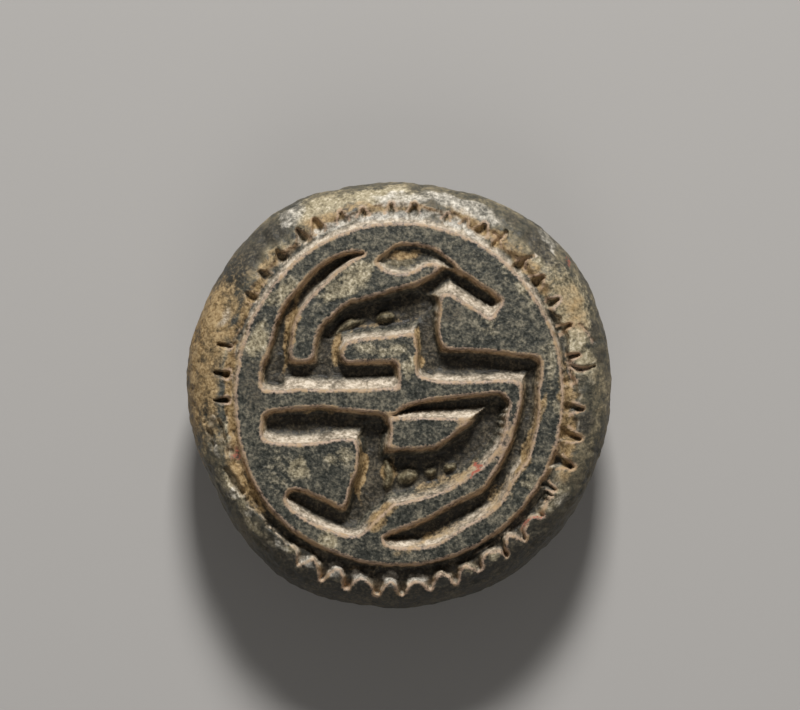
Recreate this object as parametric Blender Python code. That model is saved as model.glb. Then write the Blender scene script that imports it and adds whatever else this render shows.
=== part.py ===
"""A round stone seal amulet, lying on its domed back with the carved face up.

The body is a thick disc with rounded shoulders and a domed back, drilled
through from side to side for a cord. Two goats are cut into the face, head
to tail, inside a ring that has notches along its outer edge.
Metres, +Z up, +Y towards the top of the carving. The origin is the middle
of the small flat on the underside.
"""
import math

import bmesh
import bpy
import numpy as np
from mathutils import Vector

# Body
BODY_RADIUS = 0.0213
THICKNESS = 0.0148
GIRTH_HEIGHT = 0.0093
REST_RADIUS = 0.006
FACE_RADIUS = 0.0175
FACE_CROWN = 0.0006

# Ring and notches round the carved field
FIELD_RADIUS = 0.01665
RING_WIDTH = 0.0013
RING_DEPTH = 0.0016
RING_WALL_SHARE = 0.38  # share of the ring's width that each of its walls takes
NOTCH_COUNT = 43
NOTCH_BEARING = 264.2  # of the notch at the foot of the face, in degrees
NOTCH_REACH = 0.0018
NOTCH_WIDTH = 0.0022
NOTCH_TIP = 0.0005
NOTCH_DEPTH = 0.0015

# Depths of the carving
STROKE_DEPTH = 0.00175
BODY_DEPTH = 0.0022
HORN_DEPTH = 0.0009
CRACK_DEPTH = 0.0007

# How far a cut wall runs sideways for each unit of its depth: steep along the upper side of a
# cut, gentle where the wall faces +Y
STEEP_LEAN = 0.34
GENTLE_LEAN = 0.72
WALLS_SHARE = 0.7  # most of a cut's width that its two walls may take; narrow cuts end shallower

# String hole, drilled from both sides until the two cones met
HOLE_HEIGHT = 0.0055
HOLE_MOUTH_RADIUS = 0.0025
HOLE_WAIST_RADIUS = 0.0016
HOLE_OVERRUN = 1.1  # how far the cones run on, as a share of the way to their mouths

# Fineness of the faceting
SEGMENTS = 96
SHOULDER_RINGS = 6
BACK_RINGS = 8
FACE_RING_SHARES = (0.68, 0.36, 0.1)  # rings across the face, as shares of its radius
HOLE_SEGMENTS = 20
STROKE_STEPS = 2

# How far a cutter stands out of the stone that it cuts
CUTTER_CLEARANCE = 0.0012

# Swells and hollows of the outline: bearing, spread (degrees), height as a share of the radius
OUTLINE_SWELLS = (
    (40, 22, 0.047),
    (122, 14, 0.034),
    (203, 16, -0.036),
    (241, 9, 0.016),
)

# The carving is drawn in units of which the field's radius holds this many,
# about a millimetre each. A stroke is (across, up, half its width) along its middle.
FIELD_UNITS = 16.65
FIELD_CENTRE = (0.3, 0.2)
FIELD_FLATTENING = 0.021
FIELD_SWELL = (220, 17, 0.032)  # bearing, spread (degrees), height as a share of the radius

# The ring by bearing in degrees: its depth and width, and the reach and width of its notches, as
# shares of the sizes above, which are those at the foot of the face
RING_SHAPE = (
    (0, 0.38, 1.2, 0.25, 0.4), (12, 0.69, 0.92, 0.55, 0.4), (24, 0.69, 0.92, 0.55, 0.45),
    (40, 0.5, 1.15, 0.4, 0.45), (60, 0.38, 1.45, 0.15, 0.5), (90, 0.31, 1.7, 0.0, 0.45),
    (130, 0.38, 1.3, 0.25, 0.5), (155, 0.22, 0.77, 0.5, 0.4), (185, 0.22, 0.7, 0.6, 0.32),
    (205, 0.56, 0.92, 0.6, 0.5), (225, 0.81, 1.08, 0.6, 0.7), (245, 1.0, 1.15, 0.9, 0.95),
    (270, 1.0, 1.04, 1.0, 1.05), (300, 0.94, 1.0, 0.8, 0.85), (320, 0.69, 1.0, 0.6, 0.65),
    (338, 0.5, 1.2, 0.45, 0.5),
)

# Bearings (degrees) between which the notches have worn or broken away
WORN_NOTCHES = ((0, 8), (149, 160), (187, 234))

UPPER_GOAT = {
    "hind_arc": (
        (-3.3, 14.2, 0.15), (-4.8, 13.85, 0.55), (-6.7, 12.75, 0.8), (-8.55, 11.0, 0.85),
        (-10.3, 8.9, 0.85), (-11.1, 7.2, 0.95), (-11.75, 4.0, 1.15), (-12.0, 0.85, 1.3),
    ),
    "left_ground": ((-13.3, 2.15, 1.3), (-11.0, 2.2, 1.35), (-5.0, 2.1, 1.33), (0.3, 2.3, 1.35)),
    "hind_leg": ((-6.85, 2.6, 1.5), (-6.8, 4.6, 1.4), (-6.4, 6.0, 1.3)),
    "foreleg": ((3.25, 1.9, 1.2), (3.3, 4.5, 1.3), (3.1, 6.0, 1.25), (2.9, 8.0, 1.1), (3.1, 9.4, 1.1)),
    "neck": ((0.2, 9.45, 0.95), (2.1, 9.95, 1.15), (3.5, 10.7, 1.2), (5.4, 12.0, 1.0)),
    "muzzle": ((4.8, 11.9, 0.95), (6.1, 11.15, 1.25), (8.9, 9.35, 1.2), (10.15, 8.6, 1.15)),
    "right_ground": (
        (3.5, 3.0, 1.0), (5.0, 3.1, 1.6), (8.0, 3.05, 1.6), (11.0, 2.95, 1.45), (14.15, 2.75, 1.1),
    ),
    "front_arc": (
        (13.4, 2.9, 0.85), (13.35, 0.0, 0.85), (13.1, -2.0, 1.0), (12.65, -4.0, 1.12),
        (11.9, -6.0, 1.15), (10.7, -8.0, 1.05), (9.2, -10.2, 1.2), (6.2, -11.9, 1.3),
        (3.2, -13.6, 1.4), (1.0, -14.1, 1.1), (-0.75, -14.3, 0.65),
    ),
}
UPPER_GOAT_BODY = (
    (-6.6, 5.9, 1.1), (-5.6, 6.8, 1.5), (-3.8, 7.6, 2.0), (-0.9, 8.1, 2.25), (1.0, 8.5, 2.3),
    (3.2, 9.2, 1.9),
)
UPPER_GOAT_HORN = (
    (-1.9, 13.4, 0.15), (-0.7, 13.4, 1.0), (0.85, 13.7, 1.5), (2.6, 14.05, 1.0),
    (4.1, 13.75, 0.6), (5.4, 12.9, 0.4),
)
LOWER_GOAT = {
    "ground": (
        (-13.4, -2.95, 1.35), (-12.6, -3.0, 1.6), (-10.0, -3.0, 1.85), (-7.0, -2.8, 1.75),
        (-4.5, -2.85, 1.45), (-0.9, -3.1, 1.25),
    ),
    "leg": (
        (-2.3, -3.7, 1.6), (-2.4, -6.0, 1.5), (-2.6, -8.0, 1.5), (-3.2, -10.0, 1.6),
        (-4.1, -12.4, 1.3),
    ),
    "back_line": (
        (-0.2, -1.95, 0.15), (1.0, -1.6, 0.65), (2.5, -1.35, 0.85), (5.0, -1.2, 1.05),
        (7.5, -1.0, 1.15), (9.9, -0.8, 1.05),
    ),
    "jaw": (
        (-11.0, -9.75, 0.75), (-10.15, -10.2, 0.95), (-9.4, -10.6, 1.25), (-7.7, -11.5, 1.35),
        (-5.6, -12.5, 1.3), (-4.0, -13.0, 1.05),
    ),
}
LOWER_GOAT_BODY = (
    (-3.9, -12.2, 1.3), (-2.4, -10.3, 1.8), (-1.2, -8.7, 2.3), (0.2, -8.0, 2.7),
    (2.5, -7.65, 2.5), (4.8, -7.0, 2.2), (7.0, -5.5, 2.2), (8.8, -3.7, 1.9), (9.9, -1.2, 1.2),
)

# Cracks and old breaks outside the ring: (across, up, half width) along each
CRACKS = (
    ((16.8, 3.25, 0.35), (17.6, 2.95, 0.3), (18.6, 2.7, 0.3), (19.8, 3.0, 0.15)),
    ((-17.7, -2.4, 0.2), (-17.15, -4.4, 0.28), (-16.9, -5.8, 0.25)),
    ((-17.0, -7.2, 0.25), (-16.3, -8.5, 0.4), (-15.4, -9.6, 0.35)),
)


def swell_at(bearing, middle, spread, height):
    """Height at a bearing in radians of a swell whose middle and spread are in degrees."""
    turn = (math.degrees(bearing) - middle + 180) % 360 - 180
    return height * math.exp(-0.5 * (turn / spread) ** 2)


def outline_radius(bearing):
    return BODY_RADIUS * (1 + sum(swell_at(bearing, *swell) for swell in OUTLINE_SWELLS))


def face_height(x, y):
    """Height of the uncut face, a shallow dome that ends at the shoulder."""
    share = min(1.0, math.hypot(x, y) / FACE_RADIUS)
    return THICKNESS - FACE_CROWN * share ** 2


def surface_height(x, y):
    """Height of the uncut stone, on the face or on the shoulder round it."""
    reach = math.hypot(x, y) - FACE_RADIUS
    if reach <= 0:
        return face_height(x, y)
    width = outline_radius(math.atan2(y, x)) - FACE_RADIUS
    share = min(1.0, reach / width)
    drop = THICKNESS - FACE_CROWN - GIRTH_HEIGHT
    return GIRTH_HEIGHT + drop * math.sqrt(1 - share ** 2)


def field_point(across, up):
    """Place on the face of a point of the drawing."""
    unit = FIELD_RADIUS / FIELD_UNITS
    return across * unit, up * unit


def field_edge(bearing):
    """Distance from the field's middle to its edge, a worn circle a little taller than wide."""
    flattening = FIELD_FLATTENING * math.cos(2 * bearing)
    return FIELD_RADIUS * (1 - flattening + swell_at(bearing, *FIELD_SWELL))


def ring_share(bearing, column):
    """A share from a column of the ring's table, at a bearing in radians."""
    degrees = [row[0] for row in RING_SHAPE]
    shares = [row[column] for row in RING_SHAPE]
    return float(np.interp(math.degrees(bearing), degrees, shares, period=360))


def new_object(name, bm):
    """Turn a finished bmesh into an object with its faces pointing out."""
    bmesh.ops.recalc_face_normals(bm, faces=bm.faces)
    mesh = bpy.data.meshes.new(name)
    bm.to_mesh(mesh)
    bm.free()
    return bpy.data.objects.new(name, mesh)


def loft(name, rings, closed=False):
    """Skin rings of points, with end caps, or with the last ring joined to the first."""
    bm = bmesh.new()
    loops = [[bm.verts.new(point) for point in ring] for ring in rings]
    count = len(loops[0])
    pairs = list(zip(loops, loops[1:]))
    if closed:
        pairs.append((loops[-1], loops[0]))
    else:
        bm.faces.new(loops[0])
        bm.faces.new(loops[-1])
    for low, high in pairs:
        for i in range(count):
            j = (i + 1) % count
            bm.faces.new((low[i], low[j], high[j], high[i]))
    return new_object(name, bm)


def body():
    """The uncut stone: flat, domed back, girth, shoulder and face."""
    profile = [(0.0, 0.0)]  # share of the way from the flat to the outline, height
    for step in range(1, BACK_RINGS + 1):
        turn = 0.5 * math.pi * step / BACK_RINGS
        profile.append((math.sin(turn), GIRTH_HEIGHT * (1 - math.cos(turn))))
    rings = []
    for share, height in profile:
        ring = []
        for i in range(SEGMENTS):
            bearing = 2 * math.pi * i / SEGMENTS
            radius = REST_RADIUS + share * (outline_radius(bearing) - REST_RADIUS)
            ring.append((radius * math.cos(bearing), radius * math.sin(bearing), height))
        rings.append(ring)
    for step in range(1, SHOULDER_RINGS + 1):
        turn = 0.5 * math.pi * step / SHOULDER_RINGS
        ring = []
        for i in range(SEGMENTS):
            bearing = 2 * math.pi * i / SEGMENTS
            width = outline_radius(bearing) - FACE_RADIUS
            radius = FACE_RADIUS + width * math.cos(turn)
            x, y = radius * math.cos(bearing), radius * math.sin(bearing)
            drop = THICKNESS - FACE_CROWN - GIRTH_HEIGHT
            ring.append((x, y, GIRTH_HEIGHT + drop * math.sin(turn)))
        rings.append(ring)
    for share in FACE_RING_SHARES:
        ring = []
        for i in range(SEGMENTS):
            bearing = 2 * math.pi * i / SEGMENTS
            x = share * FACE_RADIUS * math.cos(bearing)
            y = share * FACE_RADIUS * math.sin(bearing)
            ring.append((x, y, face_height(x, y)))
        rings.append(ring)
    return loft("seal_amulet", rings)


def smoothed(points):
    """Points along a smooth curve through the given ones."""
    ends = [points[0]] + list(points) + [points[-1]]
    curve = []
    for before, start, end, after in zip(ends, ends[1:], ends[2:], ends[3:]):
        for step in range(STROKE_STEPS):
            t = step / STROKE_STEPS
            curve.append(tuple(
                0.5 * (2 * b + (c - a) * t + (2 * a - 5 * b + 4 * c - d) * t ** 2
                       + (3 * b - a - 3 * c + d) * t ** 3)
                for a, b, c, d in zip(before, start, end, after)
            ))
    curve.append(points[-1])
    return curve


def wall_lean(facing_up):
    """Lean of a wall; facing_up is 1 for one that faces +Y and -1 for one that faces -Y."""
    return STEEP_LEAN + (GENTLE_LEAN - STEEP_LEAN) * max(0.0, facing_up)


def gouge(name, points, depth):
    """Cutter for one gouged stroke, with leaning walls and ends and a flat floor."""
    unit = FIELD_RADIUS / FIELD_UNITS
    stations = [(Vector(field_point(x, y)), half * unit) for x, y, half in smoothed(points)]
    last = len(stations) - 1
    rings = []
    for i, (middle, half) in enumerate(stations):
        before = stations[max(0, i - 1)][0]
        after = stations[min(last, i + 1)][0]
        along = (after - before).normalized()
        side = Vector((-along.y, along.x))
        near_lean, far_lean = wall_lean(side.y), wall_lean(-side.y)
        cut = min(depth, 2 * half * WALLS_SHARE / (near_lean + far_lean))
        surface = surface_height(*middle)
        end = (i == 0) - (i == last)
        ring = []
        for rise in (-cut, CUTTER_CLEARANCE):
            place = middle - along * (rise * STEEP_LEAN * end)
            ring.append((*(place - side * (half + rise * near_lean)), surface + rise))
            ring.append((*(place + side * (half + rise * far_lean)), surface + rise))
        rings.append((ring[0], ring[1], ring[3], ring[2]))
    return loft(name, rings)


def ring_groove():
    """Cutter for the groove round the field, deepest at the foot and worn shallow on the left."""
    centre_x, centre_y = field_point(*FIELD_CENTRE)
    rings = []
    for i in range(SEGMENTS):
        bearing = 2 * math.pi * (i + 0.5) / SEGMENTS
        depth = RING_DEPTH * ring_share(bearing, 1)
        width = RING_WIDTH * ring_share(bearing, 2)
        inner = field_edge(bearing)
        inset = RING_WALL_SHARE * width
        flare = CUTTER_CLEARANCE * inset / depth
        ring = []
        for radius, rise in (
            (inner + inset, -depth),
            (inner + width - inset, -depth),
            (inner + width + flare, CUTTER_CLEARANCE),
            (inner - flare, CUTTER_CLEARANCE),
        ):
            x = centre_x + radius * math.cos(bearing)
            y = centre_y + radius * math.sin(bearing)
            middle = inner + 0.5 * width
            level = surface_height(
                centre_x + middle * math.cos(bearing), centre_y + middle * math.sin(bearing)
            )
            ring.append((x, y, level + rise))
        rings.append(ring)
    return loft("ring_groove", rings, closed=True)


def notches():
    """Cutters for the notches, each of which runs out of the ring and up to a narrow tip."""
    unit = FIELD_RADIUS / FIELD_UNITS
    centre_x, centre_y = FIELD_CENTRE
    found = []
    for index in range(NOTCH_COUNT):
        degrees = (NOTCH_BEARING + 360 * index / NOTCH_COUNT) % 360
        if any(low <= degrees <= high for low, high in WORN_NOTCHES):
            continue
        bearing = math.radians(degrees)
        across, up = math.cos(bearing), math.sin(bearing)
        ring_width = RING_WIDTH * ring_share(bearing, 2)
        start = (field_edge(bearing) + 0.5 * ring_width) / unit
        end = (field_edge(bearing) + ring_width + NOTCH_REACH * ring_share(bearing, 3)) / unit
        width = NOTCH_WIDTH * ring_share(bearing, 4)
        points = (
            (centre_x + start * across, centre_y + start * up, 0.5 * width / unit),
            (centre_x + end * across, centre_y + end * up, 0.5 * NOTCH_TIP / unit),
        )
        found.append(gouge(f"notch_{index:02d}", points, NOTCH_DEPTH))
    return found


def string_hole():
    """Cutter for the hole: two cones that meet at a waist in the middle."""
    reach = outline_radius(0) * HOLE_OVERRUN
    taper = (HOLE_MOUTH_RADIUS - HOLE_WAIST_RADIUS) / BODY_RADIUS
    rings = []
    for x in (-reach, 0.0, reach):
        radius = HOLE_WAIST_RADIUS + taper * abs(x)
        ring = []
        for i in range(HOLE_SEGMENTS):
            turn = 2 * math.pi * (i + 0.5) / HOLE_SEGMENTS
            ring.append((x, radius * math.cos(turn), HOLE_HEIGHT + radius * math.sin(turn)))
        rings.append(ring)
    return loft("string_hole", rings)


def stone_material():
    """Dark grey-green stone, dull and lightly polished by handling."""
    stone = bpy.data.materials.new("dark_stone")
    stone.use_nodes = True
    shader = stone.node_tree.nodes["Principled BSDF"]
    shader.inputs["Base Color"].default_value = (0.10, 0.095, 0.075, 1.0)
    shader.inputs["Roughness"].default_value = 0.6
    shader.inputs["Metallic"].default_value = 0.0
    return stone


def carve(stone):
    """Cut the carving, the cracks and the string hole out of the stone."""
    cutters = [string_hole(), ring_groove()]
    cutters += notches()
    cutters += [gouge(f"upper_{name}", points, STROKE_DEPTH) for name, points in UPPER_GOAT.items()]
    cutters += [gouge(f"lower_{name}", points, STROKE_DEPTH) for name, points in LOWER_GOAT.items()]
    cutters.append(gouge("upper_body", UPPER_GOAT_BODY, BODY_DEPTH))
    cutters.append(gouge("lower_body", LOWER_GOAT_BODY, BODY_DEPTH))
    cutters.append(gouge("upper_horn", UPPER_GOAT_HORN, HORN_DEPTH))
    cutters += [gouge(f"crack_{i}", points, CRACK_DEPTH) for i, points in enumerate(CRACKS)]

    collection = bpy.data.collections.new("cutters")
    bpy.context.scene.collection.children.link(collection)
    for cutter in cutters:
        cutter.hide_render = True
        cutter.display_type = "WIRE"
        collection.objects.link(cutter)
    cut = stone.modifiers.new("carving", "BOOLEAN")
    cut.operation = "DIFFERENCE"
    cut.solver = "EXACT"
    cut.operand_type = "COLLECTION"
    cut.collection = collection


def main():
    for old in list(bpy.data.objects):
        bpy.data.objects.remove(old, do_unlink=True)
    stone = body()
    bpy.context.scene.collection.objects.link(stone)
    stone.data.materials.append(stone_material())
    carve(stone)


main()
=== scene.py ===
"""Looks of the stone seal amulet: its worn, carved surface, its patina, the floor, light and camera."""
import math

import bmesh
import bpy
import numpy as np
from mathutils import Matrix, Vector


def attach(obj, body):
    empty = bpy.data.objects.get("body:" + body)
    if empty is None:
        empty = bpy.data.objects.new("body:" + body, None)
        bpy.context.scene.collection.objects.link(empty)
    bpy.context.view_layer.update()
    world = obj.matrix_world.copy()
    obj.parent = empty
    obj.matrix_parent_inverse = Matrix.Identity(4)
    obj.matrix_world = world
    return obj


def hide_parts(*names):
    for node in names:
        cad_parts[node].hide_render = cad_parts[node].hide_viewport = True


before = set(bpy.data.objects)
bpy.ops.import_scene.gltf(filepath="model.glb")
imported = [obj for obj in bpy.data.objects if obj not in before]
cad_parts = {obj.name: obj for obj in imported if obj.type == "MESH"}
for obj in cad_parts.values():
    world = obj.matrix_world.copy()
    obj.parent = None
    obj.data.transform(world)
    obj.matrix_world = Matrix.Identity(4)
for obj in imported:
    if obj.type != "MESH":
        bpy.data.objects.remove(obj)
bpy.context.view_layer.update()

MM = 0.001  # one millimetre in metres; lengths are in millimetres where no other unit is named

# Body, as in the solid
BODY_RADIUS = 21.3
THICKNESS = 14.8
GIRTH_HEIGHT = 9.3
REST_RADIUS = 6.0
FACE_RADIUS = 17.5
FACE_CROWN = 0.6

# Swells and hollows of the outline: bearing and spread in degrees, share of the radius
OUTLINE_SWELLS = (
    (40, 22, 0.047),
    (122, 14, 0.034),
    (203, 16, -0.036),
    (241, 9, 0.016),
)

# The carved field inside the ring
FIELD_RADIUS = 16.65
FIELD_CENTRE = (0.3, 0.2)
FIELD_FLATTENING = 0.021
FIELD_SWELL = (220, 17, 0.032)  # bearing and spread in degrees, share of the radius

# Depths of the carving
STROKE_DEPTH = 1.75
BODY_DEPTH = 2.2
HORN_DEPTH = 0.9
OTHER_STROKE_DEPTHS = {"leg": BODY_DEPTH}  # the lower goat's leg runs into its body

# How far a wall leans for each millimetre of depth: steep along the upper side of a cut, and
# as a rule gentle along its lower side
STEEP_LEAN = 0.34
GENTLE_LEAN = 0.66
LOWER_WALL_LEANS = {
    "hind_arc": 0.34, "left_ground": 0.98, "foreleg": 0.4, "hind_leg": 0.5, "muzzle": 0.95,
    "back_line": 0.8, "front_arc": 0.7, "ground": 0.8,
}
LEAN_SPAN = (-0.35, 0.85)  # growth of the inset with y where a wall is still steep, and is gentle
FACING_PROBE = 0.1  # between the two places whose insets give that growth
CRACK_LEAN = 0.35

# Which strokes end square at their first and last point; all other ends are round
ROUND_ENDS = (False, False)
SQUARE_ENDS = {
    "hind_arc": (False, True), "left_ground": (True, True), "foreleg": (True, False),
    "muzzle": (False, True), "right_ground": (False, True),
    "ground": (True, True),
}

# How much the insets of two edges may differ where the corner between them is worn round:
# between two strokes, at a stroke's square end, and between the ring and a notch
CORNER_REACH = 1.0
SQUARE_END_REACH = 0.8
NOTCH_REACH = 1.1

# How an arris is worn, and how the foot of a wall curves into the floor
ARRIS_WEAR = 0.08
ARRIS_SETBACK = 0.02
WALL_FOOT_CURVE = 1.6

# The foot of the face is where the sine of the bearing is below this. Only there does the ring
# have a sharp outer arris, and the notches' edges run into it from a share of the ring's width on.
FOOT_SINE = -0.55
RING_OUTER_SHARE = 0.6

# Half width of a notch's outer end, at the foot and as a share of its width elsewhere; then the
# share of its depth that it loses on its way out, and of its half width that its wall takes
FOOT_NOTCH_END = 0.3
NOTCH_END_SHARE = 0.16
NOTCH_RISE = 0.2
NOTCH_WALL_SHARE = 0.75

# How far the foot of a ridge spreads past its edge; the shares of a stroke's depth at which a
# cut is too shallow for a ridge, and deep enough for all of it
RIDGE_FOOT = 0.15
RIDGE_FLOOR = (0.4, 0.9)
CRACK_SETBACK = 0.3  # keeps the pale line of an arris off a crack

# String hole
HOLE_HEIGHT = 5.5
HOLE_MOUTH_RADIUS = 2.5
HOLE_WAIST_RADIUS = 1.6
HOLE_OVERRUN = 2.0  # how far the cutter reaches past the body's radius
HOLE_SIDES = 64

# Fineness of the mesh: cells across the face, and half as many across the back; then the shares
# of each grid that lie on the face and on the flat under the back
FACE_CELLS = 272
BACK_CELLS = FACE_CELLS // 2
FACE_SHARE = 0.74
FLAT_SHARE = 0.24
CURVE_STEPS = 4  # points of a stroke's curve for each one that is given

FAR_OUTSIDE = -99.0  # inset of a place that no cut is near

# Layers of noise: height and size of the features in millimetres, and a seed
EDGE_WOBBLE = ((0.08, 1.5, 11), (0.06, 0.5, 12))
RING_RAGGEDNESS = ((0.3, 1.4, 51), (0.15, 0.7, 52))
STONE_UNEVENNESS = ((0.025, 3.5, 21), (0.012, 0.7, 25))
RIM_UNEVENNESS = ((0.12, 3.0, 22), (0.08, 1.2, 23), (0.06, 0.6, 24))
FLAKE_UNEVENNESS = ((0.16, 0.9, 41), (0.12, 0.45, 42))
CUT_FLOOR_UNEVENNESS = ((0.09, 1.3, 26), (0.05, 0.5, 27))
CUT_WALL_UNEVENNESS = ((0.035, 0.35, 29),)
PATCH_WANDER_ACROSS = ((0.5, 1.6, 31), (0.25, 0.6, 33))
PATCH_WANDER_UP = ((0.5, 1.6, 32), (0.25, 0.6, 34))

# Wobble of rough edges, in times that of the strokes' edges: the ring's outer edge, and the
# edges of notches, cracks and ridges
RING_WOBBLE = 2.5
ROUGH_WOBBLE = 2

# Worn pits in the rim, from the top of one noise
PIT_DEPTH = 0.12
PIT_SPAN = (0.35, 0.8)
PIT_NOISE = (0.8, 28)  # size and seed
FLAKE_DEPTH = 0.08  # how much lower flaked stone lies

# Distances from the middle over which each of these sets in: the rim's rough surface, its
# colour, the walls outside the ring, and flaked stone
ROUGH_SPAN = (17.2, 18.4)
RIM_SPAN = (17.3, 18.3)
OUTSIDE_SPAN = (16.9, 17.8)
FLAKED_SPAN = (16.2, 17.2)

# Depths of a cut over which the roughness of its floor and of its walls sets in
CUT_FLOOR_SPAN = (0.3, 1.2)
CUT_WALL_SPAN = (0.1, 0.4)
RESTING_HEIGHT = 0.6  # the surface is even at the flat that it rests on, and uneven from here up

# Strokes: (across, up, half width) along the middle of each, in millimetres
UPPER_GOAT = {
    "hind_arc": (
        (-3.3, 14.2, 0.15), (-4.8, 13.85, 0.55), (-6.7, 12.75, 0.8), (-8.55, 11.0, 0.85),
        (-10.3, 8.9, 0.85), (-11.1, 7.2, 0.95), (-11.45, 5.6, 1.05), (-11.75, 4.0, 1.15),
        (-12.0, 2.5, 1.3), (-12.0, 0.85, 1.3),
    ),
    "left_ground": ((-13.3, 2.05, 1.35), (-11.0, 2.1, 1.42), (-5.0, 2.0, 1.4), (0.3, 2.2, 1.4)),
    "hind_leg": ((-6.85, 2.6, 1.5), (-6.8, 4.6, 1.4), (-6.4, 6.0, 1.3)),
    "foreleg": (
        (3.25, 1.9, 1.2), (3.3, 4.5, 1.3), (3.1, 6.0, 1.25), (2.9, 8.0, 1.1), (3.1, 9.4, 1.1),
    ),
    "neck": ((0.2, 9.45, 0.95), (2.1, 9.95, 1.15), (3.5, 10.7, 1.2), (5.0, 11.75, 1.0)),
    "muzzle": (
        (5.1, 11.8, 0.95), (6.1, 11.15, 1.25), (7.45, 10.25, 1.25), (8.9, 9.35, 1.2),
        (10.15, 8.6, 1.15),
    ),
    "right_ground": (
        (3.5, 3.0, 1.0), (5.0, 3.1, 1.6), (8.0, 3.05, 1.6), (11.0, 2.95, 1.45), (14.15, 2.75, 1.1),
    ),
    "front_arc": (
        (13.4, 2.9, 0.85), (13.35, 0.0, 0.85), (13.1, -2.0, 1.0), (12.65, -4.0, 1.12),
        (11.9, -6.0, 1.15), (10.7, -8.0, 1.05), (9.2, -10.2, 1.2), (6.2, -11.9, 1.3),
        (3.2, -13.6, 1.4), (1.0, -14.1, 1.1), (-0.75, -14.3, 0.65),
    ),
}
UPPER_GOAT_BODY = (
    (-6.6, 5.9, 1.1), (-5.6, 6.8, 1.5), (-3.8, 7.6, 2.0), (-0.9, 8.1, 2.25), (1.0, 8.5, 2.3),
    (2.3, 8.9, 1.9),
)
UPPER_GOAT_HORN = (
    (-1.9, 13.4, 0.15), (-0.7, 13.4, 1.0), (0.85, 13.7, 1.5), (2.6, 14.05, 1.0),
    (4.1, 13.75, 0.6), (5.4, 12.9, 0.4),
)
LOWER_GOAT = {
    "ground": (
        (-13.4, -2.95, 1.35), (-12.6, -3.0, 1.6), (-10.0, -3.0, 1.85), (-7.0, -2.8, 1.75),
        (-4.5, -2.85, 1.45), (-0.9, -3.1, 1.25),
    ),
    "leg": (
        (-2.3, -3.7, 1.6), (-2.4, -6.0, 1.5), (-2.6, -8.0, 1.5), (-3.2, -10.0, 1.6),
        (-4.1, -12.4, 1.3),
    ),
    "back_line": (
        (-0.2, -1.95, 0.15), (1.0, -1.6, 0.65), (2.5, -1.35, 0.85), (5.0, -1.2, 1.05),
        (7.5, -1.0, 1.15), (9.9, -0.8, 1.05),
    ),
    "jaw": (
        (-10.15, -10.2, 0.95), (-9.4, -10.6, 1.25), (-7.7, -11.5, 1.35), (-5.6, -12.5, 1.3),
        (-4.4, -12.7, 1.05),
    ),
}
LOWER_GOAT_BODY = (
    (-3.5, -11.6, 1.4), (-2.4, -10.3, 1.8), (-1.2, -8.7, 2.3), (0.2, -8.0, 2.7),
    (2.5, -7.65, 2.5), (4.8, -7.0, 2.2), (7.0, -5.5, 2.2), (8.8, -3.7, 1.9), (9.9, -1.2, 1.2),
)

# Ridges and bumps left standing in the cut floors: (across, up, half width) along each, and a height
FLOOR_RIDGES = (
    (((-6.0, 6.3, 0.35), (-4.9, 7.2, 0.45), (-3.4, 7.5, 0.3)), 0.7),
    (((-1.7, 7.75, 0.55), (-1.1, 7.9, 0.7), (-0.5, 7.9, 0.5)), 0.8),
    (((-0.95, -6.6, 0.45), (-0.75, -7.8, 0.6), (-1.0, -9.0, 0.4)), 0.9),
    (((0.7, -8.1, 0.8), (1.1, -8.0, 0.95), (1.5, -7.9, 0.8)), 0.9),
    (((3.2, -7.6, 0.5), (3.4, -7.6, 0.6), (3.6, -7.5, 0.5)), 0.8),
    (((5.2, -7.1, 0.5), (5.4, -7.1, 0.5), (5.6, -7.0, 0.5)), 0.7),
)

# The ring by bearing in degrees: depth, width, and how far its inner and outer walls slope
RING_SHAPE = (
    (0, 0.6, 1.6, 0.9, 0.7), (10, 1.1, 1.2, 0.5, 0.3), (24, 1.1, 1.2, 0.5, 0.3),
    (36, 0.8, 1.5, 0.7, 0.8), (60, 0.6, 1.9, 0.9, 1.0), (90, 0.5, 2.2, 1.1, 1.1),
    (130, 0.6, 1.7, 0.8, 0.9), (155, 0.35, 1.0, 0.6, 0.4), (185, 0.35, 0.9, 0.6, 0.3),
    (205, 0.9, 1.2, 0.6, 0.4), (225, 1.3, 1.4, 0.6, 0.5), (245, 1.6, 1.5, 0.4, 0.7),
    (270, 1.6, 1.35, 0.35, 0.7), (300, 1.5, 1.3, 0.4, 0.7), (320, 1.1, 1.3, 0.45, 0.6),
    (335, 0.8, 1.6, 0.8, 0.8),
)

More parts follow.
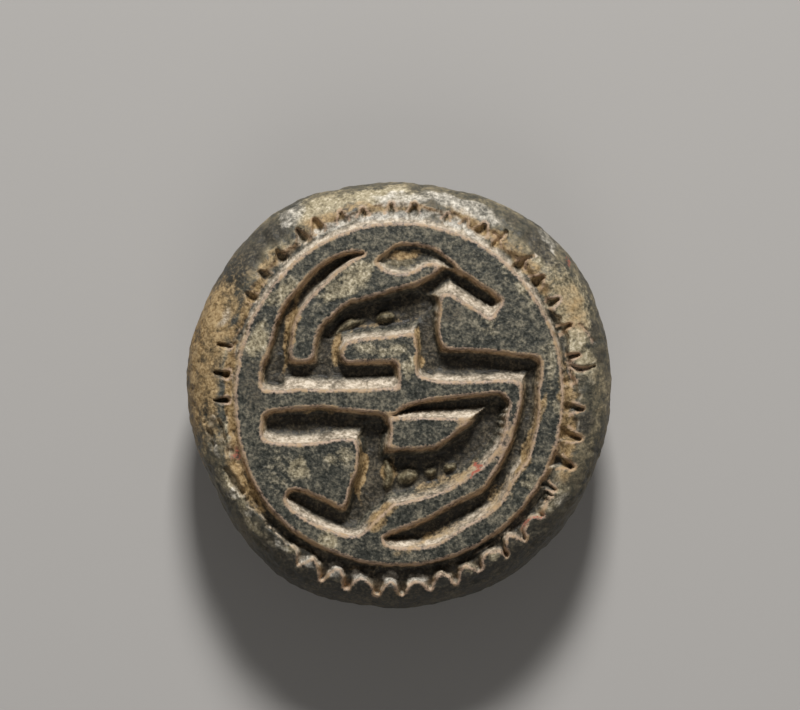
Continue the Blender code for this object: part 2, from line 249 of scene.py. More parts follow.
# Notches round the ring: bearing in degrees, where it starts and ends on the way out from the
# middle, its width where it starts, and its depth
NOTCHES = (
    (239.5, 16.9, 19.5, 1.7, 1.3), (247.8, 16.9, 20.0, 2.2, 1.6), (255.4, 16.9, 20.0, 2.3, 1.6),
    (264.2, 16.9, 20.0, 2.4, 1.7), (271.6, 16.9, 19.8, 2.3, 1.7), (279.9, 16.9, 19.65, 2.1, 1.6),
    (288.0, 16.9, 19.6, 2.0, 1.5), (295.5, 16.9, 19.3, 1.6, 1.3), (304.8, 16.9, 19.5, 1.9, 1.4),
    (311.9, 16.9, 19.4, 1.8, 1.3), (320.5, 16.9, 19.0, 1.4, 1.1), (329.2, 16.9, 18.4, 1.3, 1.4),
    (338.0, 17.1, 19.1, 1.9, 1.5), (346.8, 17.2, 19.0, 1.8, 1.4), (356.1, 17.2, 18.9, 1.5, 1.1),
    (5.0, 17.0, 17.8, 0.9, 1.0), (12.8, 17.5, 18.8, 0.8, 1.2), (22.3, 17.5, 18.9, 1.0, 1.4),
    (31.0, 18.0, 18.95, 1.2, 1.3), (39.1, 17.9, 18.9, 1.4, 1.4), (46.8, 17.7, 18.8, 1.5, 1.2),
    (56.7, 18.0, 19.0, 1.5, 1.1), (62.8, 18.4, 19.4, 1.5, 1.1), (68.5, 18.1, 19.0, 1.2, 0.9),
    (74.3, 18.1, 19.0, 1.2, 0.9), (84.6, 18.3, 19.3, 1.5, 1.3), (91.5, 18.4, 19.2, 1.2, 1.1),
    (100.2, 18.4, 19.2, 1.4, 0.9), (107.0, 18.3, 19.3, 1.4, 0.9), (115.2, 18.5, 19.6, 1.5, 1.2),
    (120.8, 18.3, 19.5, 1.6, 1.4), (129.4, 17.8, 19.0, 1.5, 1.2), (137.6, 17.6, 18.6, 1.4, 0.9),
    (145.8, 17.3, 18.1, 1.2, 0.8), (163.6, 17.3, 18.6, 0.7, 1.1), (172.7, 17.1, 18.3, 0.9, 1.3),
    (181.4, 17.0, 18.3, 0.7, 1.3),
)

# Cracks and old breaks: (across, up, half width) along each, and a depth
CRACKS = (
    (((16.8, 3.25, 0.35), (17.6, 2.95, 0.3), (18.6, 2.7, 0.3), (19.8, 3.0, 0.1)), 0.8),
    (((16.9, 2.2, 0.5), (17.2, 1.6, 0.45), (17.5, 1.0, 0.2)), 0.8),
    (((-17.7, -2.4, 0.15), (-17.15, -4.4, 0.28), (-16.9, -5.8, 0.25)), 0.7),
    (((-17.0, -7.2, 0.25), (-16.3, -8.5, 0.4), (-15.4, -9.6, 0.35)), 0.8),
    (((18.3, 7.2, 0.2), (19.0, 6.4, 0.25), (19.6, 5.4, 0.2)), 0.35),
    (((9.8, 16.2, 0.3), (10.5, 15.7, 0.4), (10.9, 16.3, 0.3)), 0.7),
    (((11.6, 13.9, 0.2), (12.6, 13.6, 0.35), (13.7, 14.0, 0.2)), 0.6),
    (((-19.2, -2.6, 0.15), (-18.6, -3.9, 0.25), (-18.4, -5.2, 0.15)), 0.4),
)

# Flaked, rough stone outside the ring: across, up, radius
FLAKED = ((15.8, -10.4, 2.2), (13.0, 13.6, 2.4), (17.6, 8.0, 2.4), (10.0, 16.4, 2.2), (17.8, 1.6, 1.6),
          (-15.5, -9.5, 2.2), (-17.6, -3.6, 2.4), (-12.5, 14.4, 2.2), (-11.6, -15.0, 1.8))

# Patches of each colour: across, up, half length, half width, turn in degrees, strength
PATCHES = {
    # The stone's cream crust; the patches at (4.8, -17.8), (7.2, -17.0) and (9.6, -15.8) are painted
    # highlights on the heads of the teeth, which face the lamp
    "cream_and_highlight": (
        (-14.0, 5.8, 1.1, 1.9, -15, 0.9), (-11.7, 10.3, 1.9, 1.0, 50, 0.7), (-9.7, -7.5, 1.2, 1.1, 0, 0.8),
        (-5.6, -5.9, 1.4, 0.9, 20, 0.55), (-6.8, -14.2, 0.8, 1.3, 20, 0.75),
        (-5.0, 11.4, 3.6, 1.2, 32, 0.62), (9.0, 7.3, 1.5, 1.5, 0, 0.3), (1.4, 2.6, 1.0, 1.3, 0, 0.5),
        (13.2, -8.5, 1.1, 0.9, 30, 0.5), (-11.5, -7.5, 1.6, 2.5, 0, 0.25), (-1.5, 4.6, 3.4, 0.7, 0, 0.35),
        (-13.0, 1.2, 1.0, 0.6, 0, 0.5), (-6.8, 18.9, 3.6, 1.1, 14, 0.95), (-1.8, 19.6, 3.6, 1.3, 4, 1.0),
        (-11.5, 14.6, 3.4, 0.6, 50, 0.4), (17.0, 9.6, 4.2, 2.1, -65, 0.85),
        (18.6, 4.6, 2.6, 1.1, -80, 0.75), (-18.0, 5.6, 2.6, 0.9, 85, 0.5),
        (-16.9, -3.6, 1.4, 0.5, -80, 0.4), (-15.6, -10.8, 4.6, 0.7, -55, 0.65),
        (-10.2, -15.5, 1.8, 0.6, -35, 0.7), (15.4, -10.6, 2.4, 0.9, 45, 0.55),
        (14.6, 12.2, 2.2, 0.9, -50, 0.6), (0.8, 13.3, 2.2, 0.45, 4, 0.8), (7.2, -17.0, 1.1, 0.7, 20, 0.7),
        (4.8, -17.8, 0.9, 0.6, 0, 0.7), (9.6, -15.8, 1.0, 0.7, 30, 0.6), (15.6, -0.5, 0.6, 8.0, 5, 0.3),
        (12.2, 11.2, 3.0, 0.7, -48, 0.4),
    ),
    # Pale mottling of the stone, and painted light: the sheen on the top shoulder, the lit inner wall of
    # the ring at the top, the heads of the teeth at the foot, and glints along the ring at the left
    "white_and_highlight": (
        (6.6, 18.9, 4.4, 0.8, -18, 0.65), (-10.4, 18.1, 1.5, 1.0, 35, 0.6), (0.6, 19.6, 3.0, 0.7, 0, 0.6),
        (-17.2, 7.8, 0.5, 1.4, -20, 0.3), (-18.0, -5.0, 0.4, 1.0, 20, 0.35),
        (-16.3, -9.9, 0.6, 0.6, 0, 0.5), (-14.8, -11.4, 0.7, 0.5, 0, 0.5),
        (-18.2, -2.3, 0.9, 0.4, 60, 0.25), (16.2, -10.6, 1.4, 0.6, 35, 0.25),
        (18.6, 1.3, 1.2, 0.9, 0, 0.15), (15.3, 15.7, 1.6, 0.6, -50, 0.4), (-6.0, -17.3, 0.9, 0.7, 0, 1.0),
        (-3.5, -17.8, 0.8, 0.7, 0, 1.0), (-0.9, -18.2, 0.8, 0.7, 0, 1.0), (2.0, -18.0, 1.1, 0.6, 0, 0.9),
        (0.0, 17.95, 4.6, 0.5, 0, 0.85), (-6.2, 17.0, 2.6, 0.5, 22, 0.8), (6.4, 16.9, 2.6, 0.5, -24, 0.8),
        (-9.2, -16.3, 1.3, 0.6, -30, 0.9), (-11.6, -14.6, 1.2, 0.4, -40, 0.5),
    ),
    "ochre": (
        (-19.8, 6.2, 4.6, 1.5, 75, 1.0), (-20.2, 0.0, 4.2, 1.2, 95, 0.95), (-16.5, 0.6, 6.0, 0.5, 92, 1.0),
        (-15.1, 8.4, 4.2, 0.55, 62, 0.95), (-2.6, -17.0, 3.4, 0.3, 3, 0.3),
        (-15.2, -8.6, 3.4, 0.7, -58, 0.8), (7.6, 17.2, 3.2, 0.8, -32, 0.85),
        (13.4, 12.6, 3.6, 0.8, -50, 0.75), (17.0, -2.2, 6.0, 0.9, 86, 0.75),
        (13.4, -4.2, 5.6, 0.45, 72, 0.85), (2.3, 4.9, 2.0, 0.3, 90, 0.9),
        (-1.5, 6.95, 3.6, 0.25, 6, 0.5), (-0.8, -7.7, 1.4, 0.6, 90, 0.7), (-1.6, -11.9, 2.2, 0.9, 40, 0.8),
        (-6.4, 17.9, 3.4, 0.7, 20, 0.7), (-20.0, -6.5, 2.2, 0.7, -68, 0.6), (0.6, 14.1, 1.8, 0.6, 3, 0.8),
        (-10.5, 6.6, 4.0, 0.42, 78, 1.0), (-6.0, 5.0, 1.7, 0.42, 85, 0.85),
        (-12.3, 13.6, 2.6, 0.6, 48, 0.5), (-3.7, -7.4, 3.4, 0.42, 88, 0.95),
        (-2.5, 18.6, 1.4, 0.5, 5, 0.6), (1.0, 18.8, 1.4, 0.5, -5, 0.7), (17.2, 9.6, 4.0, 1.7, -64, 0.45),
        (10.0, 15.8, 1.4, 0.9, -35, 0.8), (5.0, -8.4, 5.0, 0.6, 24, 0.4), (4.2, -13.9, 4.6, 0.5, 22, 0.42),
        (10.5, -9.6, 3.2, 0.5, 48, 0.42), (-7.6, -1.3, 2.4, 0.25, 2, 0.6),
    ),
    "dark": (
        (11.7, 17.8, 1.1, 0.5, -30, 0.6), (14.4, 15.0, 2.6, 1.0, -48, 0.85),
        (19.9, 6.6, 0.8, 1.6, 10, 0.8), (20.6, 3.9, 0.6, 1.2, 5, 0.7), (18.8, -2.6, 1.4, 1.1, 60, 0.9),
        (-16.0, 12.4, 4.2, 1.5, 52, 1.0), (-12.6, 16.2, 2.8, 1.2, 40, 0.9), (-17.2, 1.2, 0.9, 1.4, 0, 0.4),
        (-18.6, -1.2, 1.2, 0.9, 0, 0.7), (-14.6, 1.8, 1.3, 3.4, 5, 0.45), (5.6, 8.7, 1.0, 1.5, 0, 0.4),
        (3.4, 19.0, 1.3, 0.5, -8, 0.5),
    ),
    "red": (
        (17.5, 13.2, 0.6, 0.35, -50, 0.5), (13.0, -12.6, 0.8, 0.35, 60, 0.7),
        (14.4, -12.1, 0.9, 0.3, 10, 0.55), (7.8, -7.6, 0.75, 0.17, 42, 0.9),
        (-16.0, -5.6, 0.4, 0.9, 0, 0.4),
    ),
}

# Soft edge of a patch, in times its size: where its strength is still whole, and where it ends
PATCH_EDGE = (0.5, 1.35)

# Where each mask sets in, and where it is whole
TOP_SPAN = (GIRTH_HEIGHT - 1.0, GIRTH_HEIGHT + 0.5)
WALL_HEAD = (0.02, 0.15)  # these three by share of the cut's full depth; the second two end a wall
WALL_FOOT = (1.0, 0.5)
BROAD_WALL_FOOT = (0.8, 0.25)
# Where a surface counts as facing away from the lamp, or across its way: these choose the painted light and
# shade of walls and arrises
SHADED_SPAN = (0.1, -0.35)  # by the Y part of the surface's normal
SIDEWAYS_SPAN = (0.4, 0.12)  # by the size of its Y part
SLOPING_SPAN = (0.97, 0.85)  # by its Z part
# Painted shade on the cut floors sets in over these
FLOOR_SHADE_SHARE_SPAN = (0.75, 0.98)  # by share of the cut's full depth
FLOOR_SHADE_DEPTH_SPAN = (0.6, 1.2)
LEFT_SPAN = (0.15, 0.5)  # by the height left standing

# Outside the ring: spans by the sine or cosine of the bearing, and how much is taken off there
SIDES_SPAN = (0.85, 0.35)  # by the size of the sine
UPPER_HALF_SPAN = (-0.3, 0.4)  # by the sine
LEFT_SIDE_SPAN = (-0.3, -0.7)  # by the cosine
WALL_DULLING = 0.75
FLOOR_SHADE_LIFT = 0.7
ARRIS_DULLING = 0.8

# Tints of the rim: middle bearing and spread in degrees
DARK_FOOT = (275, 75)
OCHRE_LEFT = (168, 34)
OCHRE_LEFT_STRENGTH = 0.75

# Grains of the stone: size of the features, detail and roughness of the noise
GRAINS = ((0.3, 3.0, 0.6), (0.85, 4.0, 0.6), (3.2, 3.0, 0.5))

# Mixtures of the fine, middle and broad grain: share of each, and the span that becomes 0 to 1
MIXTURES = {
    "speck": ((0.52, 0.34, 0.14), (0.385, 0.615)),
    "cloud": ((0.2, 0.45, 0.35), (0.36, 0.64)),
    "rim": ((0.25, 0.4, 0.35), (0.38, 0.62)),
}

# Colours of the stone and its crusts, from the darkest of the grain to the lightest. The wall colours are
# painted light and shade, and the floor colour is painted shade
TONES = {
    "field": (
        (0.0, (0.013, 0.0145, 0.0115)), (0.35, (0.034, 0.0355, 0.0285)), (0.65, (0.071, 0.070, 0.055)),
        (1.0, (0.180, 0.166, 0.129)),
    ),
    "warm": ((0.0, (0.026, 0.025, 0.018)), (0.4, (0.075, 0.070, 0.052)), (1.0, (0.230, 0.206, 0.150))),
    "rim": (
        (0.0, (0.033, 0.033, 0.026)), (0.3, (0.075, 0.069, 0.050)), (0.55, (0.140, 0.120, 0.078)),
        (0.8, (0.23, 0.190, 0.118)), (1.0, (0.38, 0.315, 0.20)),
    ),
    "dark": ((0.0, (0.021, 0.020, 0.017)), (0.5, (0.052, 0.047, 0.036)), (1.0, (0.135, 0.115, 0.080))),
    "cream_and_highlight": (
        (0.0, (0.150, 0.122, 0.070)), (0.35, (0.27, 0.228, 0.142)), (0.7, (0.40, 0.345, 0.23)),
        (1.0, (0.62, 0.55, 0.41)),
    ),
    "white_and_highlight": ((0.0, (0.21, 0.195, 0.165)), (0.4, (0.38, 0.355, 0.305)), (1.0, (0.72, 0.675, 0.59))),
    "ochre": ((0.0, (0.105, 0.063, 0.025)), (0.4, (0.252, 0.166, 0.073)), (1.0, (0.47, 0.34, 0.18))),
    # A pale copy of the walls' crust for walls that face the lamp and a brown copy for walls that face
    # away: painted light and shade
    "lit_wall": (
        (0.0, (0.29, 0.240, 0.176)), (0.3, (0.39, 0.325, 0.243)), (0.6, (0.50, 0.420, 0.322)),
        (1.0, (0.70, 0.615, 0.50)),
    ),
    "shaded_wall": (
        (0.0, (0.11, 0.060, 0.026)), (0.4, (0.33, 0.205, 0.105)), (1.0, (0.62, 0.44, 0.27)),
    ),
    # Painted shade for the deepest part of the cuts
    "floor": ((0.0, (0.010, 0.009, 0.006)), (0.5, (0.034, 0.029, 0.020)), (1.0, (0.130, 0.108, 0.074))),
    "left": ((0.0, (0.040, 0.033, 0.018)), (0.5, (0.125, 0.102, 0.058)), (1.0, (0.30, 0.255, 0.16))),
}
LIT_WALL_SPAN = (0.0, 0.85)  # of the speck, for the tones of a lit wall
# The pale arris line takes the first colour where the surface faces the lamp and the paler second one where
# it faces away: painted light against the shade there
LIT_ARRIS = (0.50, 0.37, 0.275)
SHADED_ARRIS = (0.62, 0.44, 0.32)
GOLDEN_ARRIS = (0.40, 0.27, 0.14)
RED = (0.36, 0.10, 0.065)

# How soft the grain breaks the edge of each mask, and the span over which a weak mask shows
SOFTNESS = {"dark": 0.35, "cream_and_highlight": 0.35, "ochre": 0.35, "white_and_highlight": 0.5, "arris": 0.42, "red": 0.25}
WEAK_MASK_SPAN = (0.02, 0.3)

# Spans of the cloud: where the field turns warm, where walls are whole instead of half strong,
# and where the arrises turn golden, up to a share
WARM_SPAN = (0.3, 0.95)
WALL_STRENGTH_SPAN = (0.1, 0.6, 0.5, 1.0)
GOLDEN_SPAN = (0.35, 0.75, 0.0, 0.8)
RIM_STRENGTH = 0.9
SIDEWAYS_STRENGTH = 0.75
ARRIS_STRENGTH = 0.88

# Pale line along an arris: how far outside the edge its middle lies, and its half width
ARRIS_LINE = (0.03, 0.16)

# Surface of the stone
STONE_ROUGHNESS = (0.42, 0.75)  # where the grain is darkest and lightest
STONE_SPECULAR = 0.35
GRAIN_HEIGHT = 0.06
GRAIN_STRENGTH = 0.7

# Floor and studio; the floor's size is in metres
FLOOR_SIZE = 2.0
FLOOR_COLOUR = (0.42, 0.41, 0.40)
FLOOR_ROUGHNESS = 0.9
STUDIO_STRENGTH = 0.10

# Lamps: place and size in metres, power in watts, colour
LAMPS = {
    "key": ((0.03, 0.61, 0.50), 0.16, 7.6, (1.0, 0.985, 0.96)),
    "fill": ((0.0, -0.60, 0.60), 0.5, 1.0, (1.0, 0.95, 0.88)),
}

# Picture: its width level with the ring, the place on the seal at its middle, and the lens
FRAME_WIDTH = 80.0
RING_LEVEL = 12.5
LOOK_AT = (0.35, 4.1)
LENS = 250
SENSOR_WIDTH = 36


def turned(bearing, middle):
    """How far each bearing is turned from a middle one, in degrees from -180 to 180."""
    return (bearing - middle + 180) % 360 - 180


def bell(bearing, middle, spread, height):
    """A swell of some height round a middle bearing; bearings and spread are in degrees."""
    return height * np.exp(-0.5 * (turned(bearing, middle) / spread) ** 2)


def outline_radius(bearing):
    """Radius of the outline at bearings in radians."""
    return BODY_RADIUS * (1 + sum(bell(np.degrees(bearing), *row) for row in OUTLINE_SWELLS))


def smoothstep(low, high, value):
    """0 at low and 1 at high, with a smooth rise between them; low may be the greater one."""
    share = np.clip((value - low) / (high - low), 0, 1)
    return share * share * (3 - 2 * share)


def lattice(ix, iy, iz, seed):
    """A fixed random number from 0 to 1 for each whole-number place, from its scrambled bits."""
    mixed = (ix * 73856093) ^ (iy * 19349663) ^ (iz * 83492791) ^ (seed * 2654435761)
    mixed = (mixed ^ (mixed >> 13)) * 1274126177 & 0xFFFFFFFF
    mixed = (mixed ^ (mixed >> 16)) & 0xFFFFFF
    return mixed / 0xFFFFFF


def noise(place, size, seed):
    """Smooth noise from -1 to 1 with features about size millimetres across."""
    scaled = place / size
    cell = np.floor(scaled).astype(np.int64)
    share = smoothstep(0, 1, scaled - cell)
    total = np.zeros(len(place))
    for corner in range(8):
        step = [(corner >> axis) & 1 for axis in range(3)]
        weight = np.ones(len(place))
        for axis in range(3):
            weight = weight * (share[:, axis] if step[axis] else 1 - share[:, axis])
        total += weight * lattice(*(cell[:, axis] + step[axis] for axis in range(3)), seed)
    return 2 * total - 1


def layered(place, layers):
    """The sum of layers of noise, each given by its height, size and seed."""
    return sum(height * noise(place, size, seed) for height, size, seed in layers)


def smoothed(points):
    """Points along a smooth curve through the given ones."""
    rows = np.array(points, dtype=float)
    ends = np.vstack([rows[:1], rows, rows[-1:]])
    curve = []
    for a, b, c, d in zip(ends, ends[1:], ends[2:], ends[3:]):
        for step in range(CURVE_STEPS):
            t = step / CURVE_STEPS
            curve.append(0.5 * (2 * b + (c - a) * t + (2 * a - 5 * b + 4 * c - d) * t ** 2
                                + (3 * b - a - 3 * c + d) * t ** 3))
    curve.append(rows[-1])
    return np.array(curve)


def corner_wear(first, second, reach):
    """How far a corner between two edges is worn back: most where their insets are equal."""
    near = np.maximum(0, 1 - np.abs(first - second) / reach)
    return 0.25 * reach * near ** 2


def joined(first, second, reach):
    """The greater of two insets, with the corner between them worn round."""
    return np.maximum(first, second) + corner_wear(first, second, reach)


def stroke_inset(points, x, y, square_ends=ROUND_ENDS):
    """How far each place lies inside the edge of a stroke; negative outside it."""
    curve = smoothed(points)
    inset = np.full_like(x, FAR_OUTSIDE)
    for start, end in zip(curve, curve[1:]):
        step = end[:2] - start[:2]
        length = math.hypot(*step)
        along = ((x - start[0]) * step[0] + (y - start[1]) * step[1]) / length
        across = np.abs((x - start[0]) * step[1] - (y - start[1]) * step[0]) / length
        share = np.clip(along / length, 0, 1)
        half = start[2] + (end[2] - start[2]) * share
        inset = np.maximum(inset, half - np.hypot(across, along - share * length))
    for square, tip, inner in zip(square_ends, (curve[0], curve[-1]), (curve[1], curve[-2])):
        if square:
            way = (inner[:2] - tip[:2]) / math.hypot(*(inner[:2] - tip[:2]))
            along = (x - tip[0]) * way[0] + (y - tip[1]) * way[1]
            near = np.hypot(x - tip[0], y - tip[1]) < 2 * tip[2] + 0.5  # only the end changes
            inset = np.where(near, -joined(-inset, -along, SQUARE_END_REACH), inset)
    return inset


def lean_by_facing(rise, gentle):
    """Lean of a wall from how fast its inset grows with y: gentle where the wall faces +Y."""
    return STEEP_LEAN + (gentle - STEEP_LEAN) * smoothstep(*LEAN_SPAN, rise)


def cut_depth(inset, depth, lean):
    """Depth of a cut with leaning walls, a rounded foot and a slightly worn arris."""
    worn_inset = 0.5 * (inset + np.sqrt(inset ** 2 + ARRIS_WEAR ** 2)) - ARRIS_SETBACK
    share = np.clip(worn_inset / (lean * depth), 0, 1)
    return depth * (1 - (1 - share) ** WALL_FOOT_CURVE)


def by_bearing(bearing, rows, column):
    """A value that changes round the ring, read from rows of (degrees, values...)."""
    degrees = [row[0] for row in rows]
    values = [row[column] for row in rows]
    return np.interp(np.degrees(bearing) % 360, degrees + [360], values + values[:1])


class Cuts:
    """The deepest of many cuts at each place, and how near its edge each place lies."""

    def __init__(self, count):
        self.depth = np.zeros(count)
        self.left = np.zeros(count)  # height of what was left standing in the cut
        self.edge = np.full(count, FAR_OUTSIDE)  # greatest inset of any cut
        self.full = np.full(count, STROKE_DEPTH)  # depth of that cut's floor

    def add(self, depth, inset, full):
        """Takes in one more cut."""
        self.full = np.where(depth > self.depth, full, self.full)
        self.depth = np.maximum(self.depth, depth)
        self.edge = np.maximum(self.edge, inset)


def cut_strokes(cuts, x, y, wobble):
    """The goats' bodies and limbs, with what was left standing in them."""
    strokes = [
        (name, points, OTHER_STROKE_DEPTHS.get(name, STROKE_DEPTH))
        for goat in (UPPER_GOAT, LOWER_GOAT) for name, points in goat.items()
    ]
    strokes += [("body", UPPER_GOAT_BODY, BODY_DEPTH), ("body", LOWER_GOAT_BODY, BODY_DEPTH)]
    strokes += [("horn", UPPER_GOAT_HORN, HORN_DEPTH)]
    ends = [SQUARE_ENDS.get(name, ROUND_ENDS) for name, _, _ in strokes]
    insets = [stroke_inset(points, x, y, end) for (_, points, _), end in zip(strokes, ends)]
    for i, (name, points, deepest) in enumerate(strokes):
        rise = (stroke_inset(points, x, y + FACING_PROBE, ends[i]) - insets[i]) / FACING_PROBE
        others = np.maximum.reduce(insets[:i] + insets[i + 1:])
        inset = insets[i] + corner_wear(insets[i], others, CORNER_REACH) + wobble
        lean = lean_by_facing(rise, LOWER_WALL_LEANS.get(name, GENTLE_LEAN))
        cuts.add(cut_depth(inset, deepest, lean), inset, deepest)
    floor = smoothstep(*(share * STROKE_DEPTH for share in RIDGE_FLOOR), cuts.depth)
    for points, height in FLOOR_RIDGES:
        inset = stroke_inset(points, x, y) + ROUGH_WOBBLE * wobble
        half = max(row[2] for row in points)
        cuts.left += floor * height * smoothstep(-RIDGE_FOOT, half, inset)


def cut_ring(cuts, x, y, wobble):
    """The worn ring round the field, and the notches that run out of it."""
    fx, fy = x - FIELD_CENTRE[0], y - FIELD_CENTRE[1]
    bearing = np.arctan2(fy, fx)
    swell = bell(np.degrees(bearing), *FIELD_SWELL)
    field_edge = FIELD_RADIUS * (1 - FIELD_FLATTENING * np.cos(2 * bearing) + swell)
    out = np.hypot(fx, fy) - field_edge
    depth, ring_width, inner_slope, outer_slope = (
        by_bearing(bearing, RING_SHAPE, column) for column in range(1, 5)
    )
    inner_inset = out + wobble
    inner = cut_depth(inner_inset, depth, inner_slope / depth)
    place = np.stack([x, y, np.zeros_like(x)], axis=1)
    ragged = RING_WOBBLE * wobble + layered(place, RING_RAGGEDNESS)
    outer_inset = ring_width - out + ragged
    outer = cut_depth(outer_inset, depth, outer_slope / depth)
    at_foot = np.sin(bearing) < FOOT_SINE
    outer_edge = np.where(at_foot, outer_inset, FAR_OUTSIDE)
    cuts.add(np.minimum(inner, outer), np.where(out < 0.5 * ring_width, inner_inset, outer_edge), depth)
    opens = at_foot & (out > RING_OUTER_SHARE * ring_width)
    for degrees, start, end, width, deepest in NOTCHES:
        turn = math.radians(degrees)
        along = x * math.cos(turn) + y * math.sin(turn)
        across = np.abs(y * math.cos(turn) - x * math.sin(turn))
        end_half = FOOT_NOTCH_END if math.sin(turn) < FOOT_SINE else NOTCH_END_SHARE * width
        length = end - end_half - start
        share = np.clip((along - start) / length, 0, 1)
        half = 0.5 * width + (end_half - 0.5 * width) * share
        inset = half - np.hypot(across, along - start - share * length) + ROUGH_WOBBLE * wobble
        inset = np.where(opens, joined(inset, outer_inset, NOTCH_REACH), inset)
        inset = np.minimum(inset, inner_inset)
        deepest_here = deepest * (1 - NOTCH_RISE * share)
        cuts.add(cut_depth(inset, deepest_here, NOTCH_WALL_SHARE * half / deepest), inset, deepest)


def carving(place):
    """The cuts at each place."""
    x, y = place[:, 0], place[:, 1]
    wobble = layered(place, EDGE_WOBBLE)
    cuts = Cuts(len(place))
    cut_strokes(cuts, x, y, wobble)
    cut_ring(cuts, x, y, wobble)
    for points, deepest in CRACKS:
        inset = stroke_inset(points, x, y) + ROUGH_WOBBLE * wobble
        cuts.add(cut_depth(inset, deepest, CRACK_LEAN), inset - CRACK_SETBACK, deepest)
    return cuts


def disc_grid(cells):
    """A square grid bent into a disc: share of the way out, and bearing, of each point."""
    line = np.linspace(-1, 1, cells + 1)
    a, b = np.meshgrid(line, line)
    a, b = a.ravel(), b.ravel()
    wide = np.abs(a) >= np.abs(b)
    quarter = math.pi / 4
    with np.errstate(divide="ignore", invalid="ignore"):
        turn = np.where(wide, quarter * b / a, 2 * quarter - quarter * a / b)
    turn = np.nan_to_num(turn)
    radius = np.where(wide, a, b)
    return np.abs(radius), np.arctan2(radius * np.sin(turn), radius * np.cos(turn))


def grid_faces(cells, first, flip):
    """Corner numbers of a grid's squares."""
    row = np.arange(cells)
    i, j = np.meshgrid(row, row)
    low = first + (i + j * (cells + 1)).ravel()
    corners = (low, low + 1, low + cells + 2, low + cells + 1)
    return np.stack(corners[::-1] if flip else corners, axis=1)


def grid_rim(cells, first):
    """Point numbers along a grid's edge, anticlockwise from its lowest corner."""
    side = cells + 1
    bottom = np.arange(cells)
    right = np.arange(cells) * side + cells
    top = cells * side + np.arange(cells, 0, -1)
    left = np.arange(cells, 0, -1) * side
    return first + np.concatenate([bottom, right, top, left])


def ring_places(radius, bearing, height):
    """Rows of x, y and z from a radius, a bearing and a height."""
    return np.stack([radius * np.cos(bearing), radius * np.sin(bearing), height], axis=1)


def face_points():
    """Points of the uncut face and shoulder down to the girth, and the way each one faces."""
    share, bearing = disc_grid(FACE_CELLS)
    outline = outline_radius(bearing)
    inner = share <= FACE_SHARE
    turn = np.clip((share - FACE_SHARE) / (1 - FACE_SHARE), 0, 1) * math.pi / 2
    width = outline - FACE_RADIUS
    drop = THICKNESS - FACE_CROWN - GIRTH_HEIGHT
    radius = np.where(inner, FACE_RADIUS * share / FACE_SHARE, FACE_RADIUS + width * np.sin(turn))
    height = np.where(
        inner, THICKNESS - FACE_CROWN * (share / FACE_SHARE) ** 2, GIRTH_HEIGHT + drop * np.cos(turn)
    )
    lean = np.arctan2(drop * np.sin(turn), width * np.cos(turn))
    return ring_places(radius, bearing, height), ring_places(np.sin(lean), bearing, np.cos(lean))


def back_points():
    """Points of the domed back, from the flat up to just under the girth, and how each one faces."""
    share, bearing = disc_grid(BACK_CELLS)
    outline = outline_radius(bearing)
    last_turn = math.pi / 2 * (1 - 1 / BACK_CELLS)
    turn = np.clip((share - FLAT_SHARE) / (1 - FLAT_SHARE), 0, 1) * last_turn
    width = outline - REST_RADIUS
    radius = REST_RADIUS * np.minimum(share / FLAT_SHARE, 1) + width * np.sin(turn)
    height = GIRTH_HEIGHT * (1 - np.cos(turn))
    lean = np.arctan2(GIRTH_HEIGHT * np.sin(turn), width * np.cos(turn))
    return ring_places(radius, bearing, height), ring_places(np.sin(lean), bearing, -np.cos(lean))


def worn(place, facing, cut):
    """Moves each place along the way it faces, by the unevenness of the ground and worn stone."""
    away = np.hypot(place[:, 0], place[:, 1])
    rim = smoothstep(*ROUGH_SPAN, away)
    swell = layered(place, STONE_UNEVENNESS) + rim * layered(place, RIM_UNEVENNESS)
    swell -= rim * PIT_DEPTH * smoothstep(*PIT_SPAN, noise(place, *PIT_NOISE))
    flaked = (place[:, 2] > GIRTH_HEIGHT) * smoothstep(*FLAKED_SPAN, away)
    rough = layered(place, FLAKE_UNEVENNESS) - FLAKE_DEPTH
    for across, up, radius in FLAKED:
        near = np.exp(-(((place[:, 0] - across) ** 2 + (place[:, 1] - up) ** 2) / radius ** 2) ** 2)
        swell += near * flaked * rough
    swell += smoothstep(*CUT_FLOOR_SPAN, cut) * layered(place, CUT_FLOOR_UNEVENNESS)
    swell += smoothstep(*CUT_WALL_SPAN, cut) * layered(place, CUT_WALL_UNEVENNESS)
    resting = smoothstep(RESTING_HEIGHT, 0.0, place[:, 2])
    return place + facing * (swell * (1 - resting))[:, None]


def stone_mesh():
    """The stone's surface as one closed mesh."""
    face, face_way = face_points()
    back, back_way = back_points()
    cuts = carving(face)
    face = worn(face, face_way, cuts.depth)
    face[:, 2] -= cuts.depth - cuts.left
    back = worn(back, back_way, np.zeros(len(back)))
    points = np.concatenate([face, back])
    faces = grid_faces(FACE_CELLS, 0, False).tolist()
    faces += grid_faces(BACK_CELLS, len(face), True).tolist()
    high = grid_rim(FACE_CELLS, 0).tolist()
    low = grid_rim(BACK_CELLS, len(face)).tolist()
    for i in range(len(low)):
        j = (i + 1) % len(low)
        first, middle, last = high[2 * i], high[2 * i + 1], high[(2 * i + 2) % len(high)]
        faces += [(low[i], middle, first), (low[i], low[j], middle), (low[j], last, middle)]
    mesh = bpy.data.meshes.new("seal_stone")
    mesh.from_pydata((points * MM).tolist(), [], faces)
    mesh.update()
    return mesh


